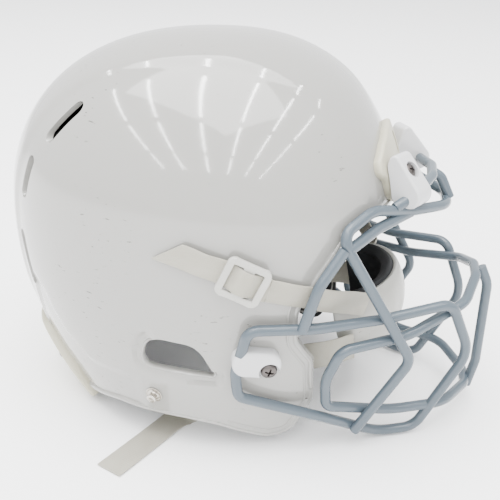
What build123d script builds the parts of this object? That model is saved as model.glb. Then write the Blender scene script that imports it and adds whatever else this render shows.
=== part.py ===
from build123d import *
import functools
import math
import os

# American football helmet: a hard dome with ear holes and rear vents, a coated steel
# wire mask held by two brow clips and two jaw clips, padding inside, and a four-strap
# chin cup. Millimetres. The wearer faces +X, +Z is up, the wearer's right is -Y.
# The helmet rests on its nape bumper and the mask's bottom wires, at Z = 0.

# ---------------------------------------------------------------- shell
CENTRE_X = -22.5          # the widest station of the dome
CENTRE_Z = 134.0
FRONT_REACH = 125.0
BACK_REACH = 153.0
TOP_REACH = 130.0
SIDE_REACH = 116.0
LOW_SIDE_REACH = 250.0    # how slowly the flanks and jaw flaps tuck in below the centre
LOW_BACK_REACH = 179.0    # how slowly the nape tucks in
FRONT_POWER = 2.3         # superellipse powers of the plan outline
BACK_POWER = 2.0
SHELL_WALL = 4.0

# height, turn from the front, length and lean of each rear vent
REAR_VENTS = ((212.0, 132, 30, 48), (172.5, 142, 30, 70), (112.5, 145, 40, 113))
VENT_WIDTH = 9.0

# ---------------------------------------------------------------- mask
WIRE = 7.0                # coated wire diameter
CLIP_AT = (112.0, -44.0, 175.0)
CLIP_TURN = -28.0         # the brow clip faces outwards by this angle
CLIP_WIDTH = 17.0
CLIP_SEAT = (-5.5, 14.0)   # screw seat in the clip's side view
JAW_PLATE = (31.0, 17.5)
BUMPER_WALL = 5.0

# ---------------------------------------------------------------- straps and cup
WEB_WIDTH = 16.0
LOW_WEB_WIDTH = 20.0      # the lower straps are wider
WEB_THICK = 1.6
BUCKLE_AT = (16.5, 136.5)         # X and Z of the upper snap stud
STRAP_SLOPE = -24.5       # the upper strap runs forwards and down at this angle
STUD_LOW_AT = (-43.5, 41.0)       # X and Z of the unused lower snap stud
BUCKLE_LIFT = 3.9                 # underside of the buckle above the shell
CUP_CENTRE = (72.0, 0.0, 80.0)
CUP_REACH = (43.0, 55.0, 45.0)
CUP_WALL = 3.2
CUP_PAD = 9.0

# ---------------------------------------------------------------- padding
LINER_OUT = 17.0          # the comfort liner lies between these insets from the shell's surface
LINER_IN = 31.0
POD_WIDTH = 34.0


def save(name, shape):
    """Writes one node's STEP file."""
    export_step(shape, f"parts/{name}.step")


def save_pair(name, right_shape):
    """Writes the right-hand piece and its mirror image."""
    save(f"{name}_right", right_shape)
    save(f"{name}_left", right_shape.mirror(Plane.XZ))


def both_sides(right_shape):
    """The right-hand solids and their mirror images, as one group."""
    return Compound(children=right_shape.solids() + right_shape.mirror(Plane.XZ).solids())


def tuck(height, grow):
    """How far the front, back and side reaches have shrunk at one height."""
    rise = height - CENTRE_Z
    if rise >= 0:
        ratio = rise / (TOP_REACH + grow)
        shrink = (1 - ratio**FRONT_POWER) ** (1 / FRONT_POWER)
        return shrink, shrink
    flank = math.sqrt(1 - (rise / LOW_SIDE_REACH) ** 2)
    nape = math.sqrt(1 - (rise / LOW_BACK_REACH) ** 2)
    return flank, nape


def dome_point(height, turn, grow=0.0):
    """A point on the dome's surface, grown outwards by grow; turn 0 faces forwards."""
    flank, nape = tuck(height, grow)
    ahead = math.cos(turn)
    aside = math.sin(turn)
    power = FRONT_POWER if ahead > 0 else BACK_POWER
    reach = (FRONT_REACH + grow) * flank if ahead > 0 else (BACK_REACH + grow) * nape
    x = CENTRE_X + math.copysign(abs(ahead) ** (2 / power), ahead) * reach
    y = math.copysign(abs(aside) ** (2 / power), aside) * (SIDE_REACH + grow) * flank
    return (x, y, height)


def on_flank(x, z, lift=0.0):
    """A point on the right-hand flank of the shell at (X, Z), lifted outwards along Y."""
    flank, nape = tuck(z, 0)
    ahead = x - CENTRE_X
    power = FRONT_POWER if ahead > 0 else BACK_POWER
    reach = FRONT_REACH * flank if ahead > 0 else BACK_REACH * nape
    aside = (1 - (abs(ahead) / reach) ** power) ** (1 / power)
    return (x, -SIDE_REACH * flank * aside - lift, z)


def flank_normal(x, z):
    """The outward direction of the right-hand flank at (X, Z)."""
    step = 0.5
    slope_x = (on_flank(x + step, z)[1] - on_flank(x - step, z)[1]) / (2 * step)
    slope_z = (on_flank(x, z + step)[1] - on_flank(x, z - step)[1]) / (2 * step)
    return Vector(slope_x, -1, slope_z).normalized()


@functools.cache
def dome(grow, bottom=-8.0):
    """The closed dome, grown outwards (or inwards, if negative) by grow."""
    top = TOP_REACH + grow
    heights = [bottom, 25.0, 60.0, 95.0, CENTRE_Z]
    heights += [
        CENTRE_Z + top * math.sin(math.radians(lift)) ** (2 / FRONT_POWER)
        for lift in (18, 34, 48, 60, 70, 78, 84)
    ]
    steps = 24
    wires = []
    for height in heights:
        ring = [dome_point(height, 2 * math.pi * k / steps, grow) for k in range(steps)]
        wires.append(Wire([Spline(*ring, periodic=True).edge()]))
    return Solid.make_loft(wires)


def side_plate(outline, radii, near=-200.0, far=200.0):
    """A side-view outline (X, Z) with rounded corners, as a slab across the helmet."""
    line = FilletPolyline(*[(x, 0, z) for x, z in outline], radius=radii, close=True)
    slab = extrude(make_face(line), amount=far - near, dir=(0, 1, 0))
    return Pos(0, near, 0) * slab


def keep_region():
    """The side view that the shell fills: face opening, jaw flap and lower rim cut away."""
    outline = [
        (140, 166), (78, 163), (49, 113), (49, 90), (59, 72), (60, 38), (46, 10), (31, 8),
        (-2, 21), (-24, 24), (-74, 24), (-102, 16), (-124, 5), (-190, 5), (-190, 275), (140, 275),
    ]
    radii = [1, 15, 22, 14, 12, 24, 16, 12, 40, 40, 40, 30, 10, 1, 1, 1]
    return side_plate(outline, radii)


def ear_hole():
    """The half-moon ear opening, flat side down."""
    outline = [(-51, 64.5), (0, 62.5), (-12, 86), (-46, 89)]
    return side_plate(outline, [7, 2, 16, 14])


def rear_vents():
    """Three slots beside the raised rear band, on the right-hand side."""
    slots = []
    for height, turn, length, lean in REAR_VENTS:
        x, y, z = dome_point(height, -math.radians(turn))
        inwards = Vector(CENTRE_X - x, -y, 0).normalized()
        slope = Vector(math.cos(math.radians(lean)), 0, math.sin(math.radians(lean)))
        along = (slope - inwards * slope.dot(inwards)).normalized()
        place = Plane(origin=(x, y, z), x_dir=along, z_dir=inwards)
        slots.append(extrude(place * SlotOverall(length, VENT_WIDTH), amount=14, both=True))
    return slots


def build_shell():
    """The polycarbonate dome with its openings, and holes for the fasteners."""
    shell = (dome(0) - dome(-SHELL_WALL)) & keep_region()
    shell -= ear_hole()
    for slot in rear_vents():
        shell -= slot
        shell -= slot.mirror(Plane.XZ)
    for hole in fastener_holes():
        shell -= hole
        shell -= hole.mirror(Plane.XZ)
    return shell.solids().sort_by(SortBy.VOLUME)[-1]


# ---------------------------------------------------------------- fasteners
JAW_SCREW_AT = on_flank(31.5, 75.0)
LOW_STUD = on_flank(*STUD_LOW_AT)
HIGH_STUD = on_flank(*BUCKLE_AT)
JAW_SCREW_DIR = flank_normal(31.5, 75.0)
STUD_DIR = flank_normal(*STUD_LOW_AT)
STUD_HIGH_DIR = flank_normal(*BUCKLE_AT)
NAPE_SCREW_TURN = 155.0
NAPE_SCREW_Z = 26.0
CLIP_NUT_AT = -28.5       # inner end of the brow clip's screw and nut, along the screw


def along(origin, direction, offset=0.0):
    """A plane whose normal runs along direction, its origin moved by offset along it."""
    direction = Vector(*direction).normalized()
    return Plane(origin=Vector(*origin) + direction * offset, z_dir=direction)


def rod(origin, direction, diameter, start, end):
    """A round rod along direction, from start to end measured from origin."""
    return extrude(along(origin, direction, start) * Circle(diameter / 2), amount=end - start)


def nape_screw_axis():
    """Where the nape bumper's right-hand screw enters the shell, and its outward direction."""
    x, y, z = dome_point(NAPE_SCREW_Z, -math.radians(NAPE_SCREW_TURN))
    return (x, y, z), Vector(x - CENTRE_X, y * 1.3, -20).normalized()


def clip_plane():
    """The brow clip's side-view plane: X outwards from the brow, Y up, at the bar's centre."""
    turn = math.radians(CLIP_TURN)
    return Plane(
        origin=CLIP_AT,
        x_dir=(math.cos(turn), math.sin(turn), 0),
        z_dir=(math.sin(turn), -math.cos(turn), 0),
    )


def clip_screw_axis():
    """A point under the brow clip's screw head, and the screw's outward direction."""
    plane = clip_plane()
    x, y = CLIP_SEAT
    seat = plane.from_local_coords(Vector(x, y, 0))
    ahead = plane.from_local_coords(Vector(x + 0.82, y + 0.57, 0))
    return seat, (ahead - seat).normalized()


def fastener_holes():
    """Clearance holes through the shell, right-hand side."""
    clip_seat, clip_dir = clip_screw_axis()
    nape_at, nape_dir = nape_screw_axis()
    return [
        rod(JAW_SCREW_AT, JAW_SCREW_DIR, 8.0, -14, 6),
        rod(LOW_STUD, STUD_DIR, 4.4, -12, 8),
        rod(HIGH_STUD, STUD_HIGH_DIR, 4.4, -14, 6),
        rod(clip_seat, clip_dir, 5.4, -34, 2),
        rod(nape_at, nape_dir, 4.4, -8, 8),
    ]


# ---------------------------------------------------------------- mask wires
def bend(points, radii, close=False):
    """One coated wire along straight runs joined by bends of the given radii."""
    path = FilletPolyline(*points, radius=radii, close=close)
    return sweep(Plane(path ^ 0) * Circle(WIRE / 2), path=path)


def mirror_run(points):
    """Points of the left half, in reverse order, for a wire that crosses the middle."""
    return [(x, -y, z) for x, y, z in reversed(points)]


def mask_wires():
    """All the mask's wires by node name; they sink a little into each other at the welds."""
    hoop = [(89, -79, 14), (121, -77, 73), (71, -91, 160), (88, -68, 170), (112, -42, 163), (135, -13, 159)]
    hoop_r = [12, 9, 25, 60, 22]
    seam_back = (14, -114.5, 62)
    seam_front = (152, -50, 86.5)
    upper = [seam_back, (13.5, -115.5, 72), (21, -117.5, 104), (60, -102, 102), (101, -75.5, 100), (144, -54, 106)]
    lower = [(160, -46, 67), (130, -51, 4.5), (105, -62, 3.8), (68, -88, 28), (15, -113.5, 53), seam_back]
    ring = [
        (161.5, -10, 108), (154, -38, 100), (118, -69, 87), (77, -94, 84), (68, -93, 60),
        (69, -88, 37), (112, -60, 22), (148, -44, 23), (165, -10, 19.5),
    ]
    ring_r = [16, 22, 60, 10, 30, 9, 60, 30, 16]
    clip_bar = [(101, -54, 168), (113, -45, 175), (123.5, -12, 178)]
    wires = {
        "mask_brow_hoop": bend(hoop + mirror_run(hoop), hoop_r + hoop_r[::-1]),
        "mask_side_loop_right": bend([*upper, seam_front], [20, 8, 60, 60, 11])
        + bend([seam_front, *lower], [26, 13, 40, 60, 8]),
        "mask_ring": bend(ring + mirror_run(ring), ring_r + ring_r[::-1], close=True),
        "mask_clip_bar": bend(clip_bar + mirror_run(clip_bar), [9, 16, 16, 9]),
        "mask_centre_bar": bend([(165.5, 0, 110.5), (171.5, 0, 98), (172, 0, 34), (168, 0, 13)], [18, 18]),
        "mask_centre_brace": bend([(122.5, 0, 178), (130, 0, 174), (137, 0, 160)], [8]),
        "mask_inner_brow_bar_right": bend([(76, -90, 151), (92, -66, 158), (111, -42, 162)], [30]),
        "mask_diagonal_bar_right": bend([(74, -92, 152), (61, -103, 131), (53, -108, 103)], [25]),
    }
    for name in [n for n in wires if n.endswith("_right")]:
        wires[name.replace("_right", "_left")] = wires[name].mirror(Plane.XZ)
    return wires


# ---------------------------------------------------------------- clips and bumpers
def build_top_clip(bar, hoop):
    """A moulded loop round the clip bar, with a plate that is screwed through the brow."""
    outline = make_hull([
        Circle(8.2).edge(),
        (Pos(-12, 20) * Circle(4.0)).edge(),
        (Pos(-17, 6) * Circle(3.0)).edge(),
        (Pos(-8, -4) * Circle(3.0)).edge(),
    ])
    clip = extrude(clip_plane() * outline, amount=CLIP_WIDTH / 2, both=True)
    clip = fillet(clip.edges().filter_by(GeomType.LINE, reverse=True), 1.6)
    seat, direction = clip_screw_axis()
    clip -= dome(BUMPER_WALL + 0.4)
    clip -= bar
    clip -= hoop
    clip -= rod(seat, direction, 5.4, -34, 10)
    clip -= rod(seat, direction, 11.0, 0, 20)
    return clip.solids().sort_by(SortBy.VOLUME)[-1]


def build_forehead_bumper():
    """The rubber brow bumper: a shield-shaped cap on the front edge, slotted in the middle."""
    half = [(0, 207), (-13, 207), (-33, 202), (-48, 194), (-50, 187), (-43, 181), (-41, 170), (0, 164)]
    line = Polyline(*[(0, y, z) for y, z in half], close=True)
    shield = extrude(make_face(line), amount=140, dir=(1, 0, 0))
    shield = shield + shield.mirror(Plane.XZ)
    bumper = (dome(BUMPER_WALL) - dome(0.05)) & shield
    slot = Pos(100, 0, 195) * Box(60, 7, 17)
    seat, direction = clip_screw_axis()
    hole = rod(seat, direction, 5.4, -34, 10)
    bumper = bumper - slot - hole - hole.mirror(Plane.XZ)
    return bumper.solids().sort_by(SortBy.VOLUME)[-1]


def build_nape_bumper():
    """The rubber strip that wraps the nape's lower edge and carries the helmet's rest."""
    band = (dome(4.5, bottom=0) - dome(0.05)) & (Pos(-140, 0, 28) * Box(100, 146, 56))
    lip = (dome(4.5, bottom=0) - dome(-SHELL_WALL - 3, bottom=0)) & (Pos(-150, 0, 2.4) * Box(100, 110, 4.8))
    nape_at, nape_dir = nape_screw_axis()
    hole = rod(nape_at, nape_dir, 4.4, -8, 12)
    bumper = band + lip
    bumper = bumper - hole - hole.mirror(Plane.XZ)
    return bumper.solids().sort_by(SortBy.VOLUME)[-1]


def build_jaw_clip(loop):
    """A moulded strap that folds round the side loop's upright and bolts to the jaw flap."""
    plate = Plane(origin=(26, -110.5, 79), x_dir=(0.95, 0.30, -0.12), z_dir=(0.30, -0.95, 0))
    pad = extrude(plate * RectangleRounded(*JAW_PLATE, 8), amount=7, both=True)
    sleeve = rod((16.9, -116.4, 86), (0.21, -0.07, 1.0), 14.6, -10.5, 10.5)
    clip = pad + sleeve
    clip -= dome(0.2)
    clip -= loop
    clip -= rod(JAW_SCREW_AT, JAW_SCREW_DIR, 5.6, -12, 20)
    clip -= rod(JAW_SCREW_AT, JAW_SCREW_DIR, 13.0, 6.6, 20)
    return clip.solids().sort_by(SortBy.VOLUME)[-1]


# ---------------------------------------------------------------- straps
def webbing(stations, width=WEB_WIDTH):
    """Flat webbing through stations of (centre, width direction, run direction)."""
    faces = []
    for centre, across, run in stations:
        run = Vector(*run).normalized()
        across = Vector(*across)
        across = (across - run * across.dot(run)).normalized()
        faces.append(Plane(origin=centre, x_dir=across, z_dir=run) * Rectangle(width, WEB_THICK))
    return loft(faces, ruled=True)


def build_tail():
    """The upper strap's free end, behind the buckle, cut on the slant."""
    tail = webbing([
        (on_flank(-37, 153.0, 2.6), (0.3, 0, 1), (1, 0, -0.30)),
        (on_flank(-16, 147.2, 3.4), (0.3, 0, 1), (1, 0, -0.28)),
        (on_flank(2, 141.4, 5.6), (0.4, 0, 1), (1, 0.02, -0.40)),
    ])
    return tail - Pos(-44, -118, 161) * Rot(0, -24, 0) * Box(34, 20, 12)


def build_shell_run():
    """The stretch of upper strap that lies on the shell between buckle and front edge."""
    return webbing([
        (on_flank(30.5, 130.6, 5.0), (0.42, 0, 1), (1, 0.25, -0.46)),
        (on_flank(39, 127.3, 3.1), (0.42, 0, 1), (1, 0.50, -0.46)),
        (on_flank(47, 124.6, 2.8), (0.42, 0, 1), (1, 0.58, -0.46)),
        (on_flank(54, 122.4, 2.4), (0.42, 0, 1), (1, 0.66, -0.46)),
    ])


def build_front_run():
    """The stretch of upper strap from the shell's front edge to the chin cup."""
    return webbing([
        (on_flank(54.3, 122.2, 2.4), (0.42, 0, 1), (1, 0.70, -0.45)),
        ((67, -88.0, 115.0), (0.35, 0.1, 1), (1, 1.10, -0.55)),
        ((79, -69.0, 106.0), (0.2, 0.1, 1), (1, 1.70, -0.70)),
        ((87, -55.0, 98.5), (0.1, 0.1, 1), (1, 1.90, -0.70)),
    ])


def build_lower_strap():
    """The unfastened lower strap: cup, inside of the jaw flap, under the rim, to the table."""
    return webbing([
        ((82, -57.0, 66.0), (0, 0, 1), (-1, -0.8, -0.1)),
        ((66, -66.0, 64.0), (0, 0, 1), (-1, -0.5, -0.1)),
        ((46, -70.0, 59.0), (-0.3, 0, 1), (-1, -0.1, -0.4)),
        ((12, -71.0, 41.0), (-0.5, 0, 1), (-1, 0, -0.7)),
        ((-12, -70.0, 22.0), (-0.6, -0.3, 0.7), (-1, 0, -0.8)),
        ((-28, -71.0, 7.5), (-0.9, 0.2, 0.45), (-0.9, -0.3, -0.6)),
        ((-38, -79.0, 1.9), (-0.92, 0.39, 0.05), (-0.5, -0.85, -0.2)),
        ((-50, -105.0, 0.8), (-0.918, 0.395, 0.0), (-0.4, -0.93, 0.0)),
        ((-65, -140.0, 0.8), (-0.918, 0.395, 0.0), (-0.4, -0.93, 0.0)),
    ], LOW_WEB_WIDTH)


def build_buckle():
    """A ladder-lock frame with a snap socket underneath, on the upper stud."""
    slope = math.radians(STRAP_SLOPE)
    place = Plane(
        origin=Vector(*HIGH_STUD) + STUD_HIGH_DIR * BUCKLE_LIFT,
        x_dir=(math.cos(slope), 0.10 * math.cos(slope), math.sin(slope)),
        z_dir=STUD_HIGH_DIR,
    )
    frame = RectangleRounded(27, 25, 4) - Pos(-6.6, 0) * Rectangle(5.6, 17.5) - Pos(6.6, 0) * Rectangle(5.6, 17.5)
    buckle = extrude(place * frame, amount=3.4)
    socket = rod(HIGH_STUD, STUD_HIGH_DIR, 13.0, 1.0, BUCKLE_LIFT)
    socket = socket - rod(HIGH_STUD, STUD_HIGH_DIR, 7.4, 0, BUCKLE_LIFT - 0.3)
    return (buckle + socket) - dome(0.4)


def build_cup(grow_out, grow_in, top_trim):
    """A cup-shaped layer between two ellipsoids, open at the top and back."""
    def egg(grow):
        reach = [r + grow for r in CUP_REACH]
        return Pos(*CUP_CENTRE) * Rot(0, 12, 0) * scale(Sphere(1), by=tuple(reach))
    layer = egg(grow_out) - egg(grow_in)
    keep = Pos(*CUP_CENTRE) * Rot(0, -14, 0) * Pos(62 - top_trim, 0, -30) * Box(130, 140, 94)
    return (layer & keep).solids().sort_by(SortBy.VOLUME)[-1]


# ---------------------------------------------------------------- padding
def liner_layer(outer_inset, inner_inset):
    """A layer inside the shell between two insets from its outer surface."""
    return dome(-outer_inset, bottom=-4.0) - dome(-inner_inset, bottom=-6.0)


def slab_box(low, high):
    """A box between two corners."""
    size = [b - a for a, b in zip(low, high)]
    centre = [(a + b) / 2 for a, b in zip(low, high)]
    return Pos(*centre) * Box(*size)


def build_pads():
    """The comfort liner's cushions by node name."""
    liner = liner_layer(LINER_OUT, LINER_IN)
    gap = 1.5
    front = (liner_layer(LINER_OUT + 2, LINER_IN) & slab_box((48, -62, 170), (130, 62, 222)))
    crown = liner & slab_box((-92, -62, 222 + 2 * gap), (75, 62, 270))
    rear = liner & slab_box((-200, -66, 60), (-96, 66, 210))
    side = liner & slab_box((-90, -130, 106), (44, -66 - gap, 214))
    nape = liner & slab_box((-200, -60, 12), (-90, 60, 56))
    jaw = liner_layer(SHELL_WALL + 0.3, 17.0) & side_plate(
        [(4, 100), (4, 44), (30, 20), (52, 34), (52, 100)], [6, 12, 10, 12, 6], far=-40.0
    )
    jaw -= rod(JAW_SCREW_AT, JAW_SCREW_DIR, 17.0, -9.5, 0)
    pads = {
        "front_pad": front,
        "crown_pad": crown,
        "rear_pad": rear,
        "nape_pad": nape,
        "side_pad_right": side,
        "side_pad_left": side.mirror(Plane.XZ),
        "jaw_pad_right": jaw,
        "jaw_pad_left": jaw.mirror(Plane.XZ),
    }
    return {name: pad.solids().sort_by(SortBy.VOLUME)[-1] for name, pad in pads.items()}


def build_shock_pods():
    """Twin-wall energy absorbers between shell and liner, one stubby drum at each station."""
    layer = liner_layer(SHELL_WALL + 0.3, LINER_OUT - 0.3)
    pods = []
    stations = [
        (0, -25, 250), (0, 25, 250), (-50, -25, 255), (-50, 25, 255), (62, -32, 214), (62, 32, 214),
        (-140, -32, 178), (-140, 32, 178), (-150, -30, 110), (-150, 30, 110),
        (-60, -90, 180), (-60, 90, 180), (5, -90, 180), (5, 90, 180),
        (-62, -100, 130), (-62, 100, 130), (10, -100, 130), (10, 100, 130),
    ]
    for x, y, z in stations:
        axis = Vector(x - CENTRE_X, y, z - CENTRE_Z + 6)
        drum = rod((CENTRE_X, 0, CENTRE_Z - 6), axis, POD_WIDTH, 60, 190)
        pods += (layer & drum).solids()
    return Compound(children=pods)


def build_fasteners():
    """Screws, nuts and snap studs by node name, each a left and right pair in one node."""
    clip_seat, clip_dir = clip_screw_axis()
    nape_at, nape_dir = nape_screw_axis()
    jaw_screw = rod(JAW_SCREW_AT, JAW_SCREW_DIR, 10.5, 6.6, 10.0) + rod(JAW_SCREW_AT, JAW_SCREW_DIR, 5.5, -7, 6.6)
    jaw_nut = rod(JAW_SCREW_AT, JAW_SCREW_DIR, 7.8, -7.2, -0.5) + rod(JAW_SCREW_AT, JAW_SCREW_DIR, 15, -7.2, -5.6)
    jaw_nut = jaw_nut - rod(JAW_SCREW_AT, JAW_SCREW_DIR, 5.5, -9, 6)
    clip_screw = rod(clip_seat, clip_dir, 9.0, 0, 3.0) + rod(clip_seat, clip_dir, 5.0, CLIP_NUT_AT, 0)
    clip_nut = rod(clip_seat, clip_dir, 9.5, CLIP_NUT_AT, CLIP_NUT_AT + 3.2)
    clip_nut = clip_nut - rod(clip_seat, clip_dir, 5.0, CLIP_NUT_AT - 1, 0)
    nape_screw = rod(nape_at, nape_dir, 9.0, 5.4, 7.6) + rod(nape_at, nape_dir, 4.2, -7, 5.4)
    low_stud = stud(LOW_STUD, STUD_DIR, 5.4)
    high_stud = stud(HIGH_STUD, STUD_HIGH_DIR, 3.2)
    return {
        "jaw_clip_screws": both_sides(jaw_screw),
        "jaw_t_nuts": both_sides(jaw_nut),
        "top_clip_screws": both_sides(clip_screw),
        "top_clip_nuts": both_sides(clip_nut),
        "nape_bumper_screws": both_sides(nape_screw),
        "lower_snap_studs": both_sides(low_stud),
        "upper_snap_studs": both_sides(high_stud),
    }


def stud(origin, direction, height):
    """A snap stud: base ring on the shell, waisted post, rounded head and inner shank."""
    base = rod(origin, direction, 11.5, 0.35, 0.9)
    post = rod(origin, direction, 5.2, 0.9, height - 1.4)
    head = rod(origin, direction, 6.6, height - 1.4, height)
    shank = rod(origin, direction, 4.2, -4.2, 0.35)
    return base + post + head + shank


def main():
    os.makedirs("parts", exist_ok=True)
    save("shell", build_shell())

    wires = mask_wires()
    for name, shape in wires.items():
        save(name, shape)

    save_pair("top_clip", build_top_clip(wires["mask_clip_bar"], wires["mask_brow_hoop"]))
    save_pair("jaw_clip", build_jaw_clip(wires["mask_side_loop_right"]))
    save("forehead_bumper", build_forehead_bumper())
    save("nape_bumper", build_nape_bumper())
    for name, shape in build_fasteners().items():
        save(name, shape)

    save_pair("buckle", build_buckle())
    save_pair("upper_strap_tail", build_tail())
    save_pair("upper_strap_rear", build_shell_run())
    save_pair("upper_strap_front", build_front_run())
    save_pair("lower_strap", build_lower_strap())
    save("chin_cup_shell", build_cup(0, -CUP_WALL, 0))
    save("chin_cup_pad", build_cup(-CUP_WALL - 0.1, -CUP_WALL - CUP_PAD, -1))

    for name, shape in build_pads().items():
        save(name, shape)
    save("shock_pods", build_shock_pods())


if __name__ == "__main__":
    main()
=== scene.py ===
import logging
import math
from dataclasses import dataclass
from enum import Enum
from typing import Callable, Sequence

import bmesh
import bpy
import numpy as np
from mathutils import Matrix, Vector


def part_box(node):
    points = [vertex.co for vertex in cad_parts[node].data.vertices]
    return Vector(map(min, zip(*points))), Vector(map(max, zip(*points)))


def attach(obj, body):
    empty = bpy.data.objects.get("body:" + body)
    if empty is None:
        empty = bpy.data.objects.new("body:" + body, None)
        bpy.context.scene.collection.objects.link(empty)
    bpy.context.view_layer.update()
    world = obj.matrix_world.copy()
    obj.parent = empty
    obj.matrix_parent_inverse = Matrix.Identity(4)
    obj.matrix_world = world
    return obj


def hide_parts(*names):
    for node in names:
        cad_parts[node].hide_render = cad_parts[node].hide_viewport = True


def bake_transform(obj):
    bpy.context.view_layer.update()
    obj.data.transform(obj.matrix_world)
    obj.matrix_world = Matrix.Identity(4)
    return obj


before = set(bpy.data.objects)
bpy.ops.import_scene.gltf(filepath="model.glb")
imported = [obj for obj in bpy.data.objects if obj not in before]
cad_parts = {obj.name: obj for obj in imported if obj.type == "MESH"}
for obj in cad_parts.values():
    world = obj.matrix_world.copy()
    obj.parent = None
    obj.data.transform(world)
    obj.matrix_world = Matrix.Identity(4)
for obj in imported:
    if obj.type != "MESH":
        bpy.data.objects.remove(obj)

LOG = logging.getLogger("helmet")
MM = 0.001
Point = tuple[float, float, float]


# ---------------------------------------------------------------- shared helpers
def unit(v: np.ndarray) -> np.ndarray:
    """Scales vectors to length one.

    Args:
        v: one vector, or rows of vectors.

    Returns:
        The same shape, each vector of length one.
    """
    v = np.asarray(v, float)
    return v / np.linalg.norm(v, axis=-1, keepdims=True)


def smooth_step(x: np.ndarray, low: float, high: float) -> np.ndarray:
    """A soft step from 0 at low to 1 at high; low may be above high for a falling step."""
    t = np.clip((np.asarray(x, float) - low) / (high - low), 0, 1)
    return t * t * (3 - 2 * t)


def rounded(points: Sequence, radii: Sequence[float], closed: bool = True, step: float = 1.0) -> np.ndarray:
    """Rounds the corners of a path with true arcs and samples it.

    Args:
        points: corner points, in two or three dimensions.
        radii: one bend radius for each corner.
        closed: whether the path returns to its start.
        step: spacing of the samples, in millimetres.

    Returns:
        The sampled path as rows.
    """
    pts = [np.asarray(p, float) for p in points]
    count = len(pts)
    out: list[np.ndarray] = []
    for i, (p, radius) in enumerate(zip(pts, radii)):
        if not closed and i in (0, count - 1):
            out.append(p)
            continue
        back, ahead = pts[i - 1] - p, pts[(i + 1) % count] - p
        reach = 0.49 * min(np.linalg.norm(back), np.linalg.norm(ahead))
        back, ahead = unit(back), unit(ahead)
        half = math.acos(float(np.clip(back @ ahead, -1, 1))) / 2
        if half > 1.56:
            out.append(p)
            continue
        cut = min(radius / math.tan(half), reach)
        bend = cut * math.tan(half)
        centre = p + unit(back + ahead) * (bend / math.sin(half))
        a, b = p + back * cut - centre, p + ahead * cut - centre
        angle = math.pi - 2 * half
        parts = max(2, int(bend * angle / step) + 1)
        for k in range(parts + 1):
            t = k / parts
            out.append(centre + (a * math.sin((1 - t) * angle) + b * math.sin(t * angle)) / math.sin(angle))
    return resample(np.array(out), step, closed)


def resample(path: np.ndarray, step: float, closed: bool = False) -> np.ndarray:
    """Spaces points evenly along a path.

    Args:
        path: rows of points.
        step: wanted spacing.
        closed: whether the path returns to its start.

    Returns:
        Evenly spaced rows; a closed path doesn't repeat its first point.
    """
    line = np.vstack([path, path[:1]]) if closed else path
    gaps = np.linalg.norm(np.diff(line, axis=0), axis=1)
    line = line[np.concatenate([[True], gaps > 1e-6])]
    along = np.concatenate([[0], np.cumsum(np.linalg.norm(np.diff(line, axis=0), axis=1))])
    count = max(3, int(round(along[-1] / step)))
    want = np.linspace(0, along[-1], count + 1)
    out = np.stack([np.interp(want, along, line[:, k]) for k in range(line.shape[1])], axis=1)
    return out[:-1] if closed else out


def spline(values: Sequence, count: int) -> np.ndarray:
    """A Catmull-Rom curve through rows of values, sampled evenly in its parameter."""
    v = np.asarray(values, float)
    v = np.vstack([2 * v[0] - v[1], v, 2 * v[-1] - v[-2]])
    out = []
    for t in np.linspace(0, len(v) - 3 - 1e-9, count):
        i, f = int(t), t - int(t)
        a, b, c, d = v[i], v[i + 1], v[i + 2], v[i + 3]
        out.append(0.5 * (2 * b + (c - a) * f + (2 * a - 5 * b + 4 * c - d) * f**2 + (3 * b - a - 3 * c + d) * f**3))
    return np.array(out)


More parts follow.
